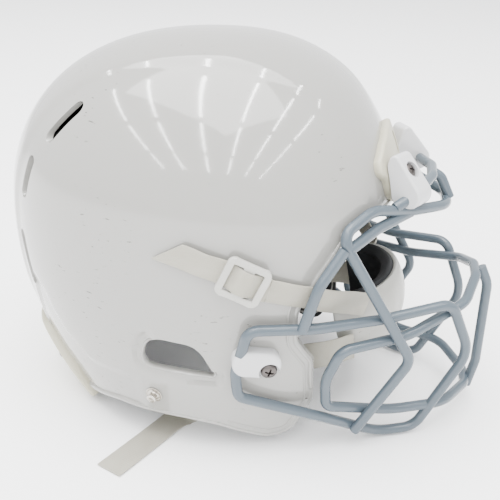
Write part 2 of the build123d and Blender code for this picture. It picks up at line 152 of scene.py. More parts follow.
# ---------------------------------------------------------------- the shell's form
@dataclass(frozen=True)
class ShellForm:
    """The dome's outer surface in millimetres: superellipse outlines that shrink with height."""

    centre: Point = (-22.5, 0.0, 134.0)
    front: float = 125.0
    back: float = 153.0
    top: float = 130.0
    side: float = 116.0
    low_side: float = 250.0
    low_back: float = 179.0
    front_power: float = 2.3
    back_power: float = 2.0

    def level(self, p: np.ndarray) -> np.ndarray:
        """Below 1 inside the dome and above 1 outside it, for rows of points."""
        rise = p[..., 2] - self.centre[2]
        up = np.clip(1 - np.clip(np.abs(rise) / self.top, 0, 1) ** self.front_power, 1e-9, 1) ** (1 / self.front_power)
        low_flank = np.sqrt(np.clip(1 - (rise / self.low_side) ** 2, 1e-9, 1))
        low_nape = np.sqrt(np.clip(1 - (rise / self.low_back) ** 2, 1e-9, 1))
        flank = np.where(rise >= 0, up, low_flank)
        nape = np.where(rise >= 0, up, low_nape)
        ahead = p[..., 0] - self.centre[0]
        reach = np.where(ahead >= 0, self.front * flank, self.back * nape)
        power = np.where(ahead >= 0, self.front_power, self.back_power)
        value = (np.abs(ahead) / reach) ** power + (np.abs(p[..., 1]) / (self.side * flank)) ** power
        return np.where((rise > self.top) | (rise < -0.999 * self.low_back), 9.0, value)

    def hit(self, direction: np.ndarray) -> np.ndarray:
        """Where rays from the dome's centre meet its surface.

        Args:
            direction: rows of unit vectors.

        Returns:
            Rows of surface points.
        """
        low = np.full(direction.shape[:-1], 20.0)
        high = np.full(direction.shape[:-1], 320.0)
        for _ in range(44):
            mid = (low + high) / 2
            inside = self.level(np.array(self.centre) + direction * mid[..., None]) < 1
            low, high = np.where(inside, mid, low), np.where(inside, high, mid)
        return np.array(self.centre) + direction * low[..., None]

    def normal(self, direction: np.ndarray) -> np.ndarray:
        """Outward normals at the surface points in those directions."""
        helper = np.where(np.abs(direction[..., 2:3]) > 0.9, [[1.0, 0, 0]], [[0, 0, 1.0]])
        a = unit(np.cross(helper, direction))
        b = np.cross(direction, a)
        e = 0.004
        across = self.hit(unit(direction + a * e)) - self.hit(unit(direction - a * e))
        upwards = self.hit(unit(direction + b * e)) - self.hit(unit(direction - b * e))
        n = unit(np.cross(across, upwards))
        return n * np.sign(np.sum(n * direction, axis=-1, keepdims=True))

    def at(self, points: np.ndarray) -> tuple[np.ndarray, np.ndarray]:
        """The surface points and normals along the rays through given points."""
        d = unit(np.atleast_2d(points) - np.array(self.centre))
        return self.hit(d), self.normal(d)

    def flank(self, x: float, z: float, lift: float = 0.0) -> np.ndarray:
        """A point on the right-hand flank, lifted outwards along Y."""
        low, high = 0.0, 200.0
        for _ in range(40):
            mid = (low + high) / 2
            if self.level(np.array([x, -mid, z])) < 1:
                low = mid
            else:
                high = mid
        return np.array([x, -low - lift, z])


FORM = ShellForm()


# ---------------------------------------------------------------- meshes
class Forge:
    """Makes, joins and finishes meshes; all lengths that go in are millimetres."""

    @staticmethod
    def lattice(at: np.ndarray, close_a: bool = False, close_b: bool = False, uv: np.ndarray | None = None) -> bmesh.types.BMesh:
        """A grid bent to given positions.

        Args:
            at: positions, shaped (rows, columns, 3).
            close_a: whether the last row meets the first.
            close_b: whether the last column meets the first.
            uv: coordinates in metres, shaped (rows + 1, columns + 1, 2), or None.

        Returns:
            A bmesh in metres, its seams and poles merged.
        """
        rows, cols = at.shape[:2]
        seg_a, seg_b = rows - (0 if close_a else 1), cols - (0 if close_b else 1)
        bm = bmesh.new()
        bmesh.ops.create_grid(bm, x_segments=seg_a, y_segments=seg_b, size=0.5)
        where = [(round((v.co.x + 0.5) * seg_a), round((v.co.y + 0.5) * seg_b)) for v in bm.verts]
        if uv is not None:
            layer = bm.loops.layers.uv.new("UVMap")
            bm.verts.index_update()
            for face in bm.faces:
                for loop in face.loops:
                    loop[layer].uv = uv[where[loop.vert.index]]
        for v, (i, j) in zip(bm.verts, where):
            v.co = Vector(at[i % rows, j % cols]) * MM
        bmesh.ops.remove_doubles(bm, verts=bm.verts, dist=2e-6)
        return bm

    @staticmethod
    def sweep(path: np.ndarray, a: np.ndarray, b: np.ndarray, section: np.ndarray, closed: bool) -> bmesh.types.BMesh:
        """A closed section carried along a path.

        Args:
            path: rows of centres.
            a: the section's first axis at each centre.
            b: the section's second axis at each centre.
            section: rows of offsets along the two axes.
            closed: whether the path is a loop.

        Returns:
            A closed bmesh.
        """
        at = path[:, None] + a[:, None] * section[None, :, :1] + b[:, None] * section[None, :, 1:]
        along = np.concatenate([[0], np.cumsum(np.linalg.norm(np.diff(path, axis=0), axis=1))])
        around = np.concatenate([[0], np.cumsum(np.linalg.norm(np.diff(section, axis=0), axis=1))])
        along, around = np.append(along, along[-1] + 1), np.append(around, around[-1] + 1)
        uv = np.stack(np.meshgrid(along * MM, around * MM, indexing="ij"), axis=-1)
        bm = Forge.lattice(at, closed, True, uv)
        if not closed:
            bmesh.ops.holes_fill(bm, edges=[e for e in bm.edges if e.is_boundary], sides=0)
        return bm

    @staticmethod
    def patch(place: Callable, radius: np.ndarray, low: float, high: float, edge: float, rings: int = 14,
              swell: float = 0.0) -> bmesh.types.BMesh:
        """A plate of any outline with rounded edges, as rings about its middle.

        Args:
            place: maps (share of the radius, height) arrays, one entry per spoke, to points.
            radius: the outline's distance from the middle along each spoke.
            low: height of the underside.
            high: height of the top at its edge.
            edge: radius of the rounded edge.
            rings: number of rings on each face.
            swell: how much higher the middle of the top is than its edge.

        Returns:
            A closed bmesh.
        """
        inner = 1 - edge / radius
        stations = []
        ones = np.ones_like(radius)
        for k in range(rings):
            share = k / rings
            stations.append((inner * share, ones * (high + swell * (1 - share**2.2))))
        for k in range(6):
            turn = math.radians(18 * k)
            stations.append((1 - edge * (1 - math.sin(turn)) / radius, ones * (high - edge * (1 - math.cos(turn)))))
        small = min(edge * 0.5, (high - low) * 0.25)
        for k in range(4):
            turn = math.radians(30 * k)
            stations.append((1 - small * (1 - math.cos(turn)) / radius, ones * (low + small * (1 - math.sin(turn)))))
        for k in range(rings - 1, -1, -1):
            stations.append(((1 - small / radius) * k / rings, ones * low))
        return Forge.lattice(np.stack([place(s, h) for s, h in stations]), close_b=True)

    @staticmethod
    def lathe(profile: Sequence[tuple[float, float]], origin: np.ndarray, direction: np.ndarray, steps: int = 40) -> bmesh.types.BMesh:
        """A turned piece.

        Args:
            profile: (radius, height) pairs from the bottom to the top.
            origin: where height 0 is.
            direction: the axis.
            steps: facets round the axis.

        Returns:
            A bmesh in place.
        """
        bm = bmesh.new()
        verts = [bm.verts.new((r * MM, 0, h * MM)) for r, h in profile]
        edges = [bm.edges.new(pair) for pair in zip(verts, verts[1:])]
        bmesh.ops.spin(bm, geom=verts + edges, cent=(0, 0, 0), axis=(0, 0, 1), dvec=(0, 0, 0),
                       angle=2 * math.pi, steps=steps, use_merge=True)
        bmesh.ops.remove_doubles(bm, verts=bm.verts, dist=2e-6)
        turn = Vector(direction).to_track_quat("Z", "Y").to_matrix().to_4x4()
        bmesh.ops.transform(bm, matrix=Matrix.Translation(Vector(origin) * MM) @ turn, verts=bm.verts)
        return bm

    @staticmethod
    def prism(outline: np.ndarray, origin: np.ndarray, a: np.ndarray, b: np.ndarray, low: float, high: float) -> bmesh.types.BMesh:
        """A flat outline drawn along axes a and b at origin, extruded along their cross product."""
        n = np.cross(a, b)
        bm = bmesh.new()
        verts = [bm.verts.new(Vector(origin + a * p[0] + b * p[1] + n * low) * MM) for p in outline]
        bmesh.ops.contextual_create(bm, geom=verts)
        made = bmesh.ops.extrude_face_region(bm, geom=bm.faces[:], use_keep_orig=True)
        moved = [g for g in made["geom"] if isinstance(g, bmesh.types.BMVert)]
        bmesh.ops.translate(bm, vec=Vector(n * (high - low) * MM), verts=moved)
        bmesh.ops.recalc_face_normals(bm, faces=bm.faces)
        return bm

    @staticmethod
    def join(parts: Sequence[bmesh.types.BMesh]) -> bmesh.types.BMesh:
        """Several bmeshes as one; the others are freed."""
        whole = parts[0]
        for part in parts[1:]:
            mesh = bpy.data.meshes.new("part")
            part.to_mesh(mesh)
            part.free()
            whole.from_mesh(mesh)
            bpy.data.meshes.remove(mesh)
        return whole

    @staticmethod
    def mirrored(bm: bmesh.types.BMesh) -> bmesh.types.BMesh:
        """A left-hand copy of a right-hand piece."""
        copy = bm.copy()
        bmesh.ops.scale(copy, vec=(1, -1, 1), verts=copy.verts)
        bmesh.ops.reverse_faces(copy, faces=copy.faces)
        return copy

    @staticmethod
    def finish(bm: bmesh.types.BMesh, name: str, sharp: float = 35.0) -> bpy.types.Object:
        """Turns a bmesh into a smooth-shaded object.

        Args:
            bm: the finished mesh, in metres; it is freed.
            name: the object's name.
            sharp: edges that turn by more than this many degrees stay sharp.

        Returns:
            The linked object, at the origin.
        """
        bmesh.ops.recalc_face_normals(bm, faces=bm.faces)
        mesh = bpy.data.meshes.new(name)
        bm.to_mesh(mesh)
        bm.free()
        mesh.shade_smooth()
        mesh.set_sharp_from_angle(angle=math.radians(sharp))
        obj = bpy.data.objects.new(name, mesh)
        bpy.context.scene.collection.objects.link(obj)
        return obj

    @staticmethod
    def apply(obj: bpy.types.Object, sharp: float = 35.0) -> None:
        """Bakes an object's modifiers into its mesh."""
        bpy.context.view_layer.update()
        graph = bpy.context.evaluated_depsgraph_get()
        mesh = bpy.data.meshes.new_from_object(obj.evaluated_get(graph))
        obj.modifiers.clear()
        old, obj.data = obj.data, mesh
        bpy.data.meshes.remove(old)
        mesh.name = obj.name
        mesh.shade_smooth()
        mesh.set_sharp_from_angle(angle=math.radians(sharp))

    @staticmethod
    def carve(bm: bmesh.types.BMesh, tool: bmesh.types.BMesh) -> bmesh.types.BMesh:
        """A bmesh with a closed tool's volume taken away; both are freed."""
        obj = Forge.finish(bm, "blank")
        Forge.cut(obj, tool)
        made = bmesh.new()
        made.from_mesh(obj.data)
        bpy.data.objects.remove(obj)
        return made

    @staticmethod
    def cut(obj: bpy.types.Object, tool: bmesh.types.BMesh, operation: str = "DIFFERENCE") -> None:
        """Cuts or keeps what a closed tool covers, and removes the tool."""
        other = Forge.finish(tool, "cutter")
        modifier = obj.modifiers.new("cut", "BOOLEAN")
        modifier.operation, modifier.object, modifier.solver = operation, other, "EXACT"
        Forge.apply(obj)
        mesh = other.data
        bpy.data.objects.remove(other)
        bpy.data.meshes.remove(mesh)


# ---------------------------------------------------------------- finishes
def linear(hex_colour: str) -> tuple[float, float, float, float]:
    """An sRGB hex colour as linear RGBA."""
    raw = [int(hex_colour[i : i + 2], 16) / 255 for i in (1, 3, 5)]
    return (*[c / 12.92 if c <= 0.04045 else ((c + 0.055) / 1.055) ** 2.4 for c in raw], 1.0)


class Grain(Enum):
    """The fine structure that a finish carries."""

    SMOOTH = "smooth"
    PEEL = "coating with a slight orange peel"
    SCUFFED = "gloss paint with handling marks"
    WEAVE = "flat webbing, ribbed across"
    FOAM = "closed cell foam"
    FABRIC = "brushed knit"
    SPECKLE = "moulding worn to fine dark specks"


@dataclass(frozen=True)
class Finish:
    """One real material and process."""

    name: str
    colour: str
    roughness: float
    metallic: float = 0.0
    ior: float = 1.5
    coat: float = 0.0
    soft_light: float = 0.0
    grain: Grain = Grain.SMOOTH
    depth: float = 0.0

    def build(self) -> bpy.types.Material:
        """Makes the material.

        Returns:
            A material with one Principled shader and the grain's nodes.
        """
        material = bpy.data.materials.new(self.name)
        material.use_nodes = True
        tree = material.node_tree
        shader = tree.nodes["Principled BSDF"]
        for key, value in (("Base Color", linear(self.colour)), ("Roughness", self.roughness), ("Metallic", self.metallic),
                           ("IOR", self.ior), ("Coat Weight", self.coat), ("Coat Roughness", 0.06),
                           ("Sheen Weight", self.soft_light)):
            shader.inputs[key].default_value = value

        def add(kind: str, links: dict | None = None, **settings) -> bpy.types.Node:
            node = tree.nodes.new(kind)
            for key, value in settings.items():
                if hasattr(node, key):
                    setattr(node, key, value)
                else:
                    node.inputs[key.replace("_", " ")].default_value = value
            for key, socket in (links or {}).items():
                tree.links.new(socket, node.inputs[key])
            return node

        if self.grain is Grain.SMOOTH:
            return material
        place = add("ShaderNodeTexCoord").outputs["UV" if self.grain is Grain.WEAVE else "Object"]
        height = None
        if self.grain is Grain.PEEL:
            height = add("ShaderNodeTexNoise", {"Vector": place}, Scale=900.0, Detail=2.0).outputs["Fac"]
        elif self.grain is Grain.FABRIC:
            height = add("ShaderNodeTexNoise", {"Vector": place}, Scale=1500.0, Detail=4.0).outputs["Fac"]
        elif self.grain is Grain.FOAM:
            height = add("ShaderNodeTexVoronoi", {"Vector": place}, Scale=1100.0).outputs["Distance"]
        elif self.grain is Grain.WEAVE:
            ribs = add("ShaderNodeTexWave", {"Vector": place}, Scale=290.0, Distortion=0.4, Detail=1.0)
            cross = add("ShaderNodeTexWave", {"Vector": place}, bands_direction="Y", Scale=240.0, Distortion=0.4)
            height = add("ShaderNodeMath", {0: ribs.outputs["Fac"], 1: cross.outputs["Fac"]}, operation="MULTIPLY").outputs[0]
            soil = add("ShaderNodeTexNoise", {"Vector": place}, Scale=90.0, Detail=5.0)
            tone = add("ShaderNodeValToRGB", {"Fac": soil.outputs["Fac"]})
            tone.color_ramp.elements[0].color, tone.color_ramp.elements[1].color = linear("#8C887B"), linear(self.colour)
            tree.links.new(tone.outputs["Color"], shader.inputs["Base Color"])
        elif self.grain in (Grain.SCUFFED, Grain.SPECKLE):
            worn = self.grain is Grain.SCUFFED
            stretched = add("ShaderNodeMapping", {"Vector": place})
            stretched.inputs["Scale"].default_value = (1.0, 1.0, 3.4) if worn else (1, 1, 1)
            stretched.inputs["Rotation"].default_value = (0.0, 0.7, 0.0)
            fine = add("ShaderNodeTexNoise", {"Vector": stretched.outputs["Vector"]}, Scale=170.0 if worn else 900.0, Detail=6.0)
            broad = add("ShaderNodeTexNoise", {"Vector": place}, Scale=17.0 if worn else 60.0, Detail=3.0)
            marks = add("ShaderNodeMapRange", {"Value": fine.outputs["Fac"]})
            marks.inputs["From Min"].default_value, marks.inputs["From Max"].default_value = (0.66, 0.70) if worn else (0.62, 0.68)
            zones = add("ShaderNodeMapRange", {"Value": broad.outputs["Fac"]})
            zones.inputs["From Min"].default_value, zones.inputs["From Max"].default_value = 0.52, 0.62
            both = add("ShaderNodeMath", {0: marks.outputs["Result"], 1: zones.outputs["Result"]}, operation="MULTIPLY")
            tone = add("ShaderNodeMix", {"Factor": both.outputs[0]}, data_type="RGBA")
            tone.inputs["A"].default_value, tone.inputs["B"].default_value = linear(self.colour), linear("#4A4743")
            tree.links.new(tone.outputs["Result"], shader.inputs["Base Color"])
            height = both.outputs[0]
        bump = add("ShaderNodeBump", {"Height": height}, Strength=1.0, Distance=self.depth * MM)
        tree.links.new(bump.outputs["Normal"], shader.inputs["Normal"])
        return material


class Looks:
    """Every finish of the helmet, made once."""

    # Injection-moulded polycarbonate, sprayed gloss white, a little handled.
    SHELL = Finish("polycarbonate_gloss_white_paint", "#8E8D89", 0.09, coat=0.5, grain=Grain.SCUFFED, depth=0.02)
    # Steel wire, powder primed and dip coated grey, satin.
    MASK = Finish("steel_wire_dip_coated_grey", "#465058", 0.22, grain=Grain.PEEL, depth=0.03)
    # Zinc-plated screw steel gone dull and dark.
    SCREW = Finish("screw_steel_dulled", "#5A5553", 0.38, metallic=1.0, ior=2.5, grain=Grain.PEEL, depth=0.02)
    # Nickel-plated brass snap stud, bright.
    STUD = Finish("nickel_plated_brass", "#B9B4AC", 0.24, metallic=1.0, ior=2.0)
    # Moulded glossy white nylon clips.
    CLIP = Finish("nylon_moulded_white", "#BABABB", 0.22, grain=Grain.PEEL, depth=0.01)
    # Soft moulded cream TPU, slightly yellowed.
    BUMPER = Finish("tpu_moulded_cream", "#ABA793", 0.40, grain=Grain.PEEL, depth=0.03)
    # Moulded acetal buckle, off white.
    BUCKLE = Finish("acetal_moulded_white", "#A8A7A1", 0.26, grain=Grain.PEEL, depth=0.01)
    # Woven nylon webbing with a pale coating.
    STRAP = Finish("nylon_webbing_coated", "#9C998D", 0.6, soft_light=0.15, grain=Grain.WEAVE, depth=0.08)
    # Moulded polycarbonate cup, worn to fine dark specks.
    CUP = Finish("polycarbonate_cup_worn", "#9B9A94", 0.3, grain=Grain.SPECKLE, depth=0.02)
    # Black closed cell foam.
    FOAM = Finish("closed_cell_foam_black", "#17181A", 0.85, grain=Grain.FOAM, depth=0.12)
    # Black brushed knit over foam.
    LINER = Finish("brushed_knit_black", "#1E1F22", 0.9, soft_light=0.3, grain=Grain.FABRIC, depth=0.15)
    # Dark moulded TPU energy absorbers.
    POD = Finish("tpu_moulded_dark", "#2A2B2D", 0.5, grain=Grain.PEEL, depth=0.02)
    # The unpainted inside of the shell, coloured near black as painted shade for the dark interior.
    INSIDE_SHADE = Finish("polycarbonate_inside_painted_shade", "#1A1A1B", 0.6)

    def __init__(self) -> None:
        self._made: dict[str, bpy.types.Material] = {}

    def get(self, finish: Finish) -> bpy.types.Material:
        """The finish's material, made on first use."""
        if finish.name not in self._made:
            self._made[finish.name] = finish.build()
        return self._made[finish.name]

    def put(self, obj: bpy.types.Object, finish: Finish, slot: str) -> bpy.types.Object:
        """Gives an object one finish."""
        obj.data.materials.clear()
        obj.data.materials.append(self.get(finish))
        return obj


LOOKS = Looks()


def both_sides(bm: bmesh.types.BMesh, stem: str, finish: Finish, slot: str, body: str | None = "helmet") -> list[bpy.types.Object]:
    """Finishes a right-hand piece and its mirror image, each in place of its own CAD node.

    Args:
        bm: the right-hand mesh; it is freed.
        stem: the CAD nodes' shared name, without the side.
        finish: what both are made of.
        slot: not used.
        body: what both ride on, or None to leave them unattached.

    Returns:
        The right-hand and left-hand objects.
    """
    left = Forge.mirrored(bm)
    made = []
    for side, mesh in (("right", bm), ("left", left)):
        obj = LOOKS.put(Forge.finish(mesh, f"look_{stem}_{side}"), finish, slot)
        if body:
            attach(obj, body.format(side=side))
        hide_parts(f"{stem}_{side}")
        made.append(obj)
    return made


def single(bm: bmesh.types.BMesh, name: str, finish: Finish, slot: str, body: str, *nodes: str) -> bpy.types.Object:
    """Finishes one object that rides on a body and stands for the given nodes."""
    obj = LOOKS.put(Forge.finish(bm, name), finish, slot)
    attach(obj, body)
    if nodes:
        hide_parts(*nodes)
    return obj


# ---------------------------------------------------------------- shell
@dataclass
class Shell:
    """The painted dome with its rolled rim, ear holes and rear vents."""

    wall: float = 4.0
    cells: int = 88
    outline: tuple = (
        (140, 166), (78, 163), (49, 113), (49, 90), (59, 72), (60, 38), (46, 10), (31, 8),
        (-2, 21), (-24, 24), (-74, 24), (-102, 16), (-124, 5), (-190, 5), (-190, 275), (140, 275),
    )
    radii: tuple = (1, 15, 22, 14, 12, 24, 16, 12, 40, 40, 40, 30, 10, 1, 1, 1)
    ear: tuple = ((-51, 64.5), (0, 62.5), (-12, 86), (-46, 89))
    ear_radii: tuple = (7, 2, 16, 14)
    vents: tuple = ((212, 132, 30, 48), (172.5, 142, 30, 70), (112.5, 145, 40, 113))
    crease: tuple = ((-138, 104), (-113, 69), (-93, 53), (-57, 52))

    def relief(self, p: np.ndarray) -> np.ndarray:
        """How far the surface stands above the plain dome, for rows of points."""
        aside, x, z = np.abs(p[:, 1]), p[:, 0], p[:, 2]
        spine = smooth_step(aside, 62, 54) * smooth_step(z, 66, 96)
        spine *= np.where(x > 20, smooth_step(z, 214, 240), 1.0)
        lift = 1.5 * spine
        line = resample(np.array(self.crease, float), 2.0)
        flat = np.stack([x, z], axis=1)
        nearest = np.linalg.norm(flat[:, None] - line[None], axis=2)
        which = nearest.argmin(axis=1)
        below = (line[which, 1] - z) > 0
        gap = nearest.min(axis=1)
        low = np.where(below, smooth_step(gap, -1.5, 2.5), 0) * (x < -52) * (x > -140)
        lift = lift - 1.2 * low * smooth_step(x, -50, -60)
        hole = rounded(self.ear, self.ear_radii, step=2.0)
        ear_gap = np.linalg.norm(flat[:, None] - hole[None], axis=2).min(axis=1)
        ledge = smooth_step(ear_gap, 7.5, 5.5) * np.clip(smooth_step(x, -40, -46) + smooth_step(z, 68, 64), 0, 1)
        return lift - 2.2 * ledge * (aside > 60)

    def dome(self) -> bmesh.types.BMesh:
        """The closed outer surface as an even net of quads."""
        bm = bmesh.new()
        bmesh.ops.create_cube(bm, size=2.0)
        bmesh.ops.subdivide_edges(bm, edges=bm.edges[:], cuts=self.cells - 1, use_grid_fill=True)
        co = np.array([v.co for v in bm.verts])
        way = unit(np.tan(co * math.pi / 4))
        at, normal = FORM.hit(way), FORM.normal(way)
        at = at + normal * self.relief(at)[:, None]
        for v, p in zip(bm.verts, at):
            v.co = Vector(p) * MM
        return bm

    def vent_tools(self) -> list[bmesh.types.BMesh]:
        """The rear slots' cutting solids, both sides."""
        tools = []
        for height, turn, length, lean in self.vents:
            ahead, aside = math.cos(math.radians(turn)), -math.sin(math.radians(turn))
            base = np.array([FORM.centre[0] + ahead * 20, aside * 20, height])
            low, high = 0.0, 200.0
            for _ in range(40):
                mid = (low + high) / 2
                inside = FORM.level(np.array([FORM.centre[0] + ahead * mid * FORM.back / FORM.side, aside * mid, height])) < 1
                low, high = (mid, high) if inside else (low, mid)
            base = np.array([FORM.centre[0] + ahead * low * FORM.back / FORM.side, aside * low, height])
            inwards = unit(np.array([FORM.centre[0] - base[0], -base[1], 0]))
            slope = np.array([math.cos(math.radians(lean)), 0, math.sin(math.radians(lean))])
            along = unit(slope - inwards * (slope @ inwards))
            half = length / 2
            slot = rounded([(-half, -4.5), (half, -4.5), (half, 4.5), (-half, 4.5)], [4.4] * 4)
            tool = Forge.prism(slot, base, along, np.cross(inwards, along), -16, 14)
            tools += [tool, Forge.mirrored(tool)]
        return tools

    def rim_path(self) -> np.ndarray:
        """The shell's whole edge as a closed loop, starting at the middle of the brow."""
        flat = rounded(self.outline, self.radii, step=0.4)
        on = FORM.level(np.stack([flat[:, 0], flat[:, 0] * 0, flat[:, 1]], axis=1)) < 1
        start = next(i for i in range(len(on)) if on[i] and not on[i - 1] and flat[i, 0] > 0)
        run = []
        for k in range(len(on)):
            i = (start + k) % len(on)
            if not on[i]:
                break
            run.append(FORM.flank(flat[i, 0], flat[i, 1]))
        right = np.array(run)
        left = right[::-1] * np.array([1, -1, 1])
        return resample(np.vstack([right, left]), 2.2, closed=True)

    def bead(self, path: np.ndarray, inset: float, sink: float, reach: tuple[float, float], closed: bool,
             inwards: np.ndarray | None = None) -> bmesh.types.BMesh:
        """A rounded bead along a path on the surface.

        Args:
            path: points on the surface.
            inset: distance of its centre from the path, into the shell's material.
            sink: distance of its centre below the surface.
            reach: half its height and half its width.
            closed: whether the path is a loop.
            inwards: a point on the material side, to choose the side for a small loop.

        Returns:
            The bead's mesh.
        """
        _, normal = FORM.at(path)
        run = unit(np.roll(path, -1, axis=0) - np.roll(path, 1, axis=0)) if closed else unit(np.gradient(path, axis=0))
        across = unit(np.cross(normal, run))
        probe = path[len(path) // 4] + across[len(path) // 4] * 3
        if inwards is not None:
            flip = np.linalg.norm(probe - inwards) < np.linalg.norm(path[len(path) // 4] - inwards)
        else:
            flip = not self.covers(probe)
        if flip:
            across = -across
        centre = path + across * inset - normal * sink
        turns = np.linspace(0, 2 * math.pi, 15)[:-1]
        section = np.stack([np.cos(turns) * reach[0], np.sin(turns) * reach[1]], axis=1)
        return Forge.sweep(centre, normal, across, section, closed)

    def covers(self, p: np.ndarray) -> bool:
        """Whether the side outline keeps the shell at a point."""
        flat = rounded(self.outline, self.radii, step=2.0)
        x, z, inside = p[0], p[2], False
        for (x1, z1), (x2, z2) in zip(flat, np.roll(flat, -1, axis=0)):
            if (z1 > z) != (z2 > z) and x < (x2 - x1) * (z - z1) / (z2 - z1) + x1:
                inside = not inside
        return inside

    def build(self) -> None:
        """Makes the dome, cuts it, and rolls its edges."""
        shell = Forge.finish(self.dome(), "look_shell")
        thick = shell.modifiers.new("wall", "SOLIDIFY")
        thick.thickness, thick.offset, thick.use_even_offset = self.wall * MM, -1.0, True
        # the inner wall takes slot 1, the near-black painted shade of the interior
        thick.material_offset = 1
        shell.data.materials.append(LOOKS.get(Looks.SHELL))
        shell.data.materials.append(LOOKS.get(Looks.INSIDE_SHADE))
        Forge.apply(shell)
        x_axis, z_axis = np.array([1.0, 0, 0]), np.array([0, 0, 1.0])
        keep = Forge.prism(rounded(self.outline, self.radii), np.zeros(3), x_axis, z_axis, -200, 200)
        Forge.cut(shell, keep, "INTERSECT")
        hole = rounded(self.ear, self.ear_radii, step=0.8)
        tools = [Forge.prism(hole, np.zeros(3), x_axis, z_axis, -200, 200)] + self.vent_tools()
        Forge.cut(shell, Forge.join(tools))
        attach(shell, "helmet")
        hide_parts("shell")
        rim = self.rim_path()
        single(self.bead(rim, 1.4, 1.7, (2.6, 2.0), True), "look_rim_lip", Looks.SHELL, "shell_polycarbonate", "helmet")
        half = rim[: len(rim) // 2]
        flap = half[(half[:, 0] > 2) & (half[:, 2] < 118)]
        beads = self.bead(flap, 6.4, 0.15, (0.55, 0.9), False)
        single(Forge.join([beads, Forge.mirrored(beads)]), "look_flap_bead", Looks.SHELL, "shell_polycarbonate", "helmet")
        ear = np.array([FORM.flank(x, z) for x, z in rounded(self.ear, self.ear_radii, step=1.2)])
        middle = ear.mean(axis=0)
        lip = self.bead(ear, 0.7, 2.5, (2.1, 1.0), True, inwards=middle)
        single(Forge.join([lip, Forge.mirrored(lip)]), "look_ear_lips", Looks.SHELL, "shell_polycarbonate", "helmet")


# ---------------------------------------------------------------- rubber bumpers
@dataclass
class Bumpers:
    """The soft cream guards on the brow and the nape."""

    brow_height: float = 5.0
    nape_height: float = 4.5
    shield: tuple = (
        (0, 207), (-13, 207), (-33, 202), (-48, 194), (-50, 187), (-43, 181), (-41, 170), (-30, 163.5), (0, 163.5),
        (30, 163.5), (41, 170), (43, 181), (50, 187), (48, 194), (33, 202), (13, 207),
    )

    def hugging(self, outline: np.ndarray, middle: np.ndarray, ahead: float) -> tuple[Callable, np.ndarray]:
        """A mapping from an outline in (Y, Z) to the dome's front or back.

        Args:
            outline: rows of (Y, Z).
            middle: the (Y, Z) that the spokes start from.
            ahead: 1 for the front and -1 for the back.

        Returns:
            The placing function and the spokes' lengths.
        """
        spokes = outline - middle
        radius = np.linalg.norm(spokes, axis=1)

        def place(share: np.ndarray, height: np.ndarray) -> np.ndarray:
            flat = middle + spokes * np.asarray(share)[:, None]
            low, high = np.zeros(len(flat)), np.full(len(flat), 200.0)
            for _ in range(40):
                mid = (low + high) / 2
                inside = FORM.level(np.stack([FORM.centre[0] + ahead * mid, flat[:, 0], flat[:, 1]], axis=1)) < 1
                low, high = np.where(inside, mid, low), np.where(inside, high, mid)
            base = np.stack([FORM.centre[0] + ahead * low, flat[:, 0], flat[:, 1]], axis=1)
            _, normal = FORM.at(base)
            return base + normal * np.asarray(height)[:, None]

        return place, radius

    def build(self) -> None:
        """Makes both guards."""
        outline = rounded(self.shield, [1, 8, 14, 7, 5, 6, 6, 6, 1, 6, 6, 6, 5, 7, 14, 8], step=1.2)
        place, radius = self.hugging(outline, np.array([0.0, 187.0]), 1)
        brow = single(Forge.patch(place, radius, -0.8, self.brow_height, 2.2, rings=22), "look_forehead_bumper",
                      Looks.BUMPER, "bumper_rubber", "helmet", "forehead_bumper")
        slot = rounded([(-3.5, 186.5), (3.5, 186.5), (3.5, 203.5), (-3.5, 203.5)], [3.4] * 4, step=0.8)
        Forge.cut(brow, Forge.prism(slot, np.array([60.0, 0, 0]), np.array([0, 1.0, 0]), np.array([0, 0, 1.0]), -5, 60))
        nape = rounded([(-71, 6.5), (71, 6.5), (73, 30), (56, 56), (-56, 56), (-73, 30)], [5, 5, 20, 12, 12, 20], step=1.6)
        place, radius = self.hugging(nape, np.array([0.0, 30.0]), -1)
        band = Forge.patch(place, radius, -2.2, self.nape_height, 2.0, rings=24)
        edge = np.array([FORM.flank(x, 4.5) for x in np.linspace(-108, -122.4, 40)])
        edge = np.vstack([edge, edge[::-1] * np.array([1, -1, 1])])
        edge = resample(edge[np.abs(edge[:, 1]) < 60], 2.0)
        run = unit(np.gradient(edge, axis=0))
        up = np.tile([0, 0, 1.0], (len(edge), 1))
        turns = np.linspace(0, 2 * math.pi, 19)[:-1]
        section = np.stack([np.cos(turns) * 2.4, np.sin(turns) * 5.0], axis=1)
        hem = edge * np.array([1, 1, 0]) + np.array([0, 0, 2.4])
        lip = Forge.sweep(hem, up, unit(np.cross(up, run)), section, False)
        single(Forge.join([band, lip]), "look_nape_bumper", Looks.BUMPER, "bumper_rubber", "helmet", "nape_bumper")


# ---------------------------------------------------------------- face mask
@dataclass
class Mask:
    """The coated wires, kept from the model."""

    wire: float = 7.0

    def dress(self) -> None:
        """Colours the wires."""
        for name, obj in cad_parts.items():
            if name.startswith("mask_"):
                LOOKS.put(obj, Looks.MASK, "mask_coating")


# ---------------------------------------------------------------- fasteners
def screw_profile(radius: float, low: float, high: float) -> list[tuple[float, float]]:
    """A pan head's half section, with a soft shoulder."""
    rise = high - low
    arc = [(radius * math.cos(math.radians(a)), low + rise * 0.3 + rise * 0.7 * math.sin(math.radians(a))) for a in (0, 18, 36, 54, 68)]
    return [(0, low), (radius * 0.96, low), (radius, low + 0.15), *arc, (radius * 0.2, high), (0, high)]


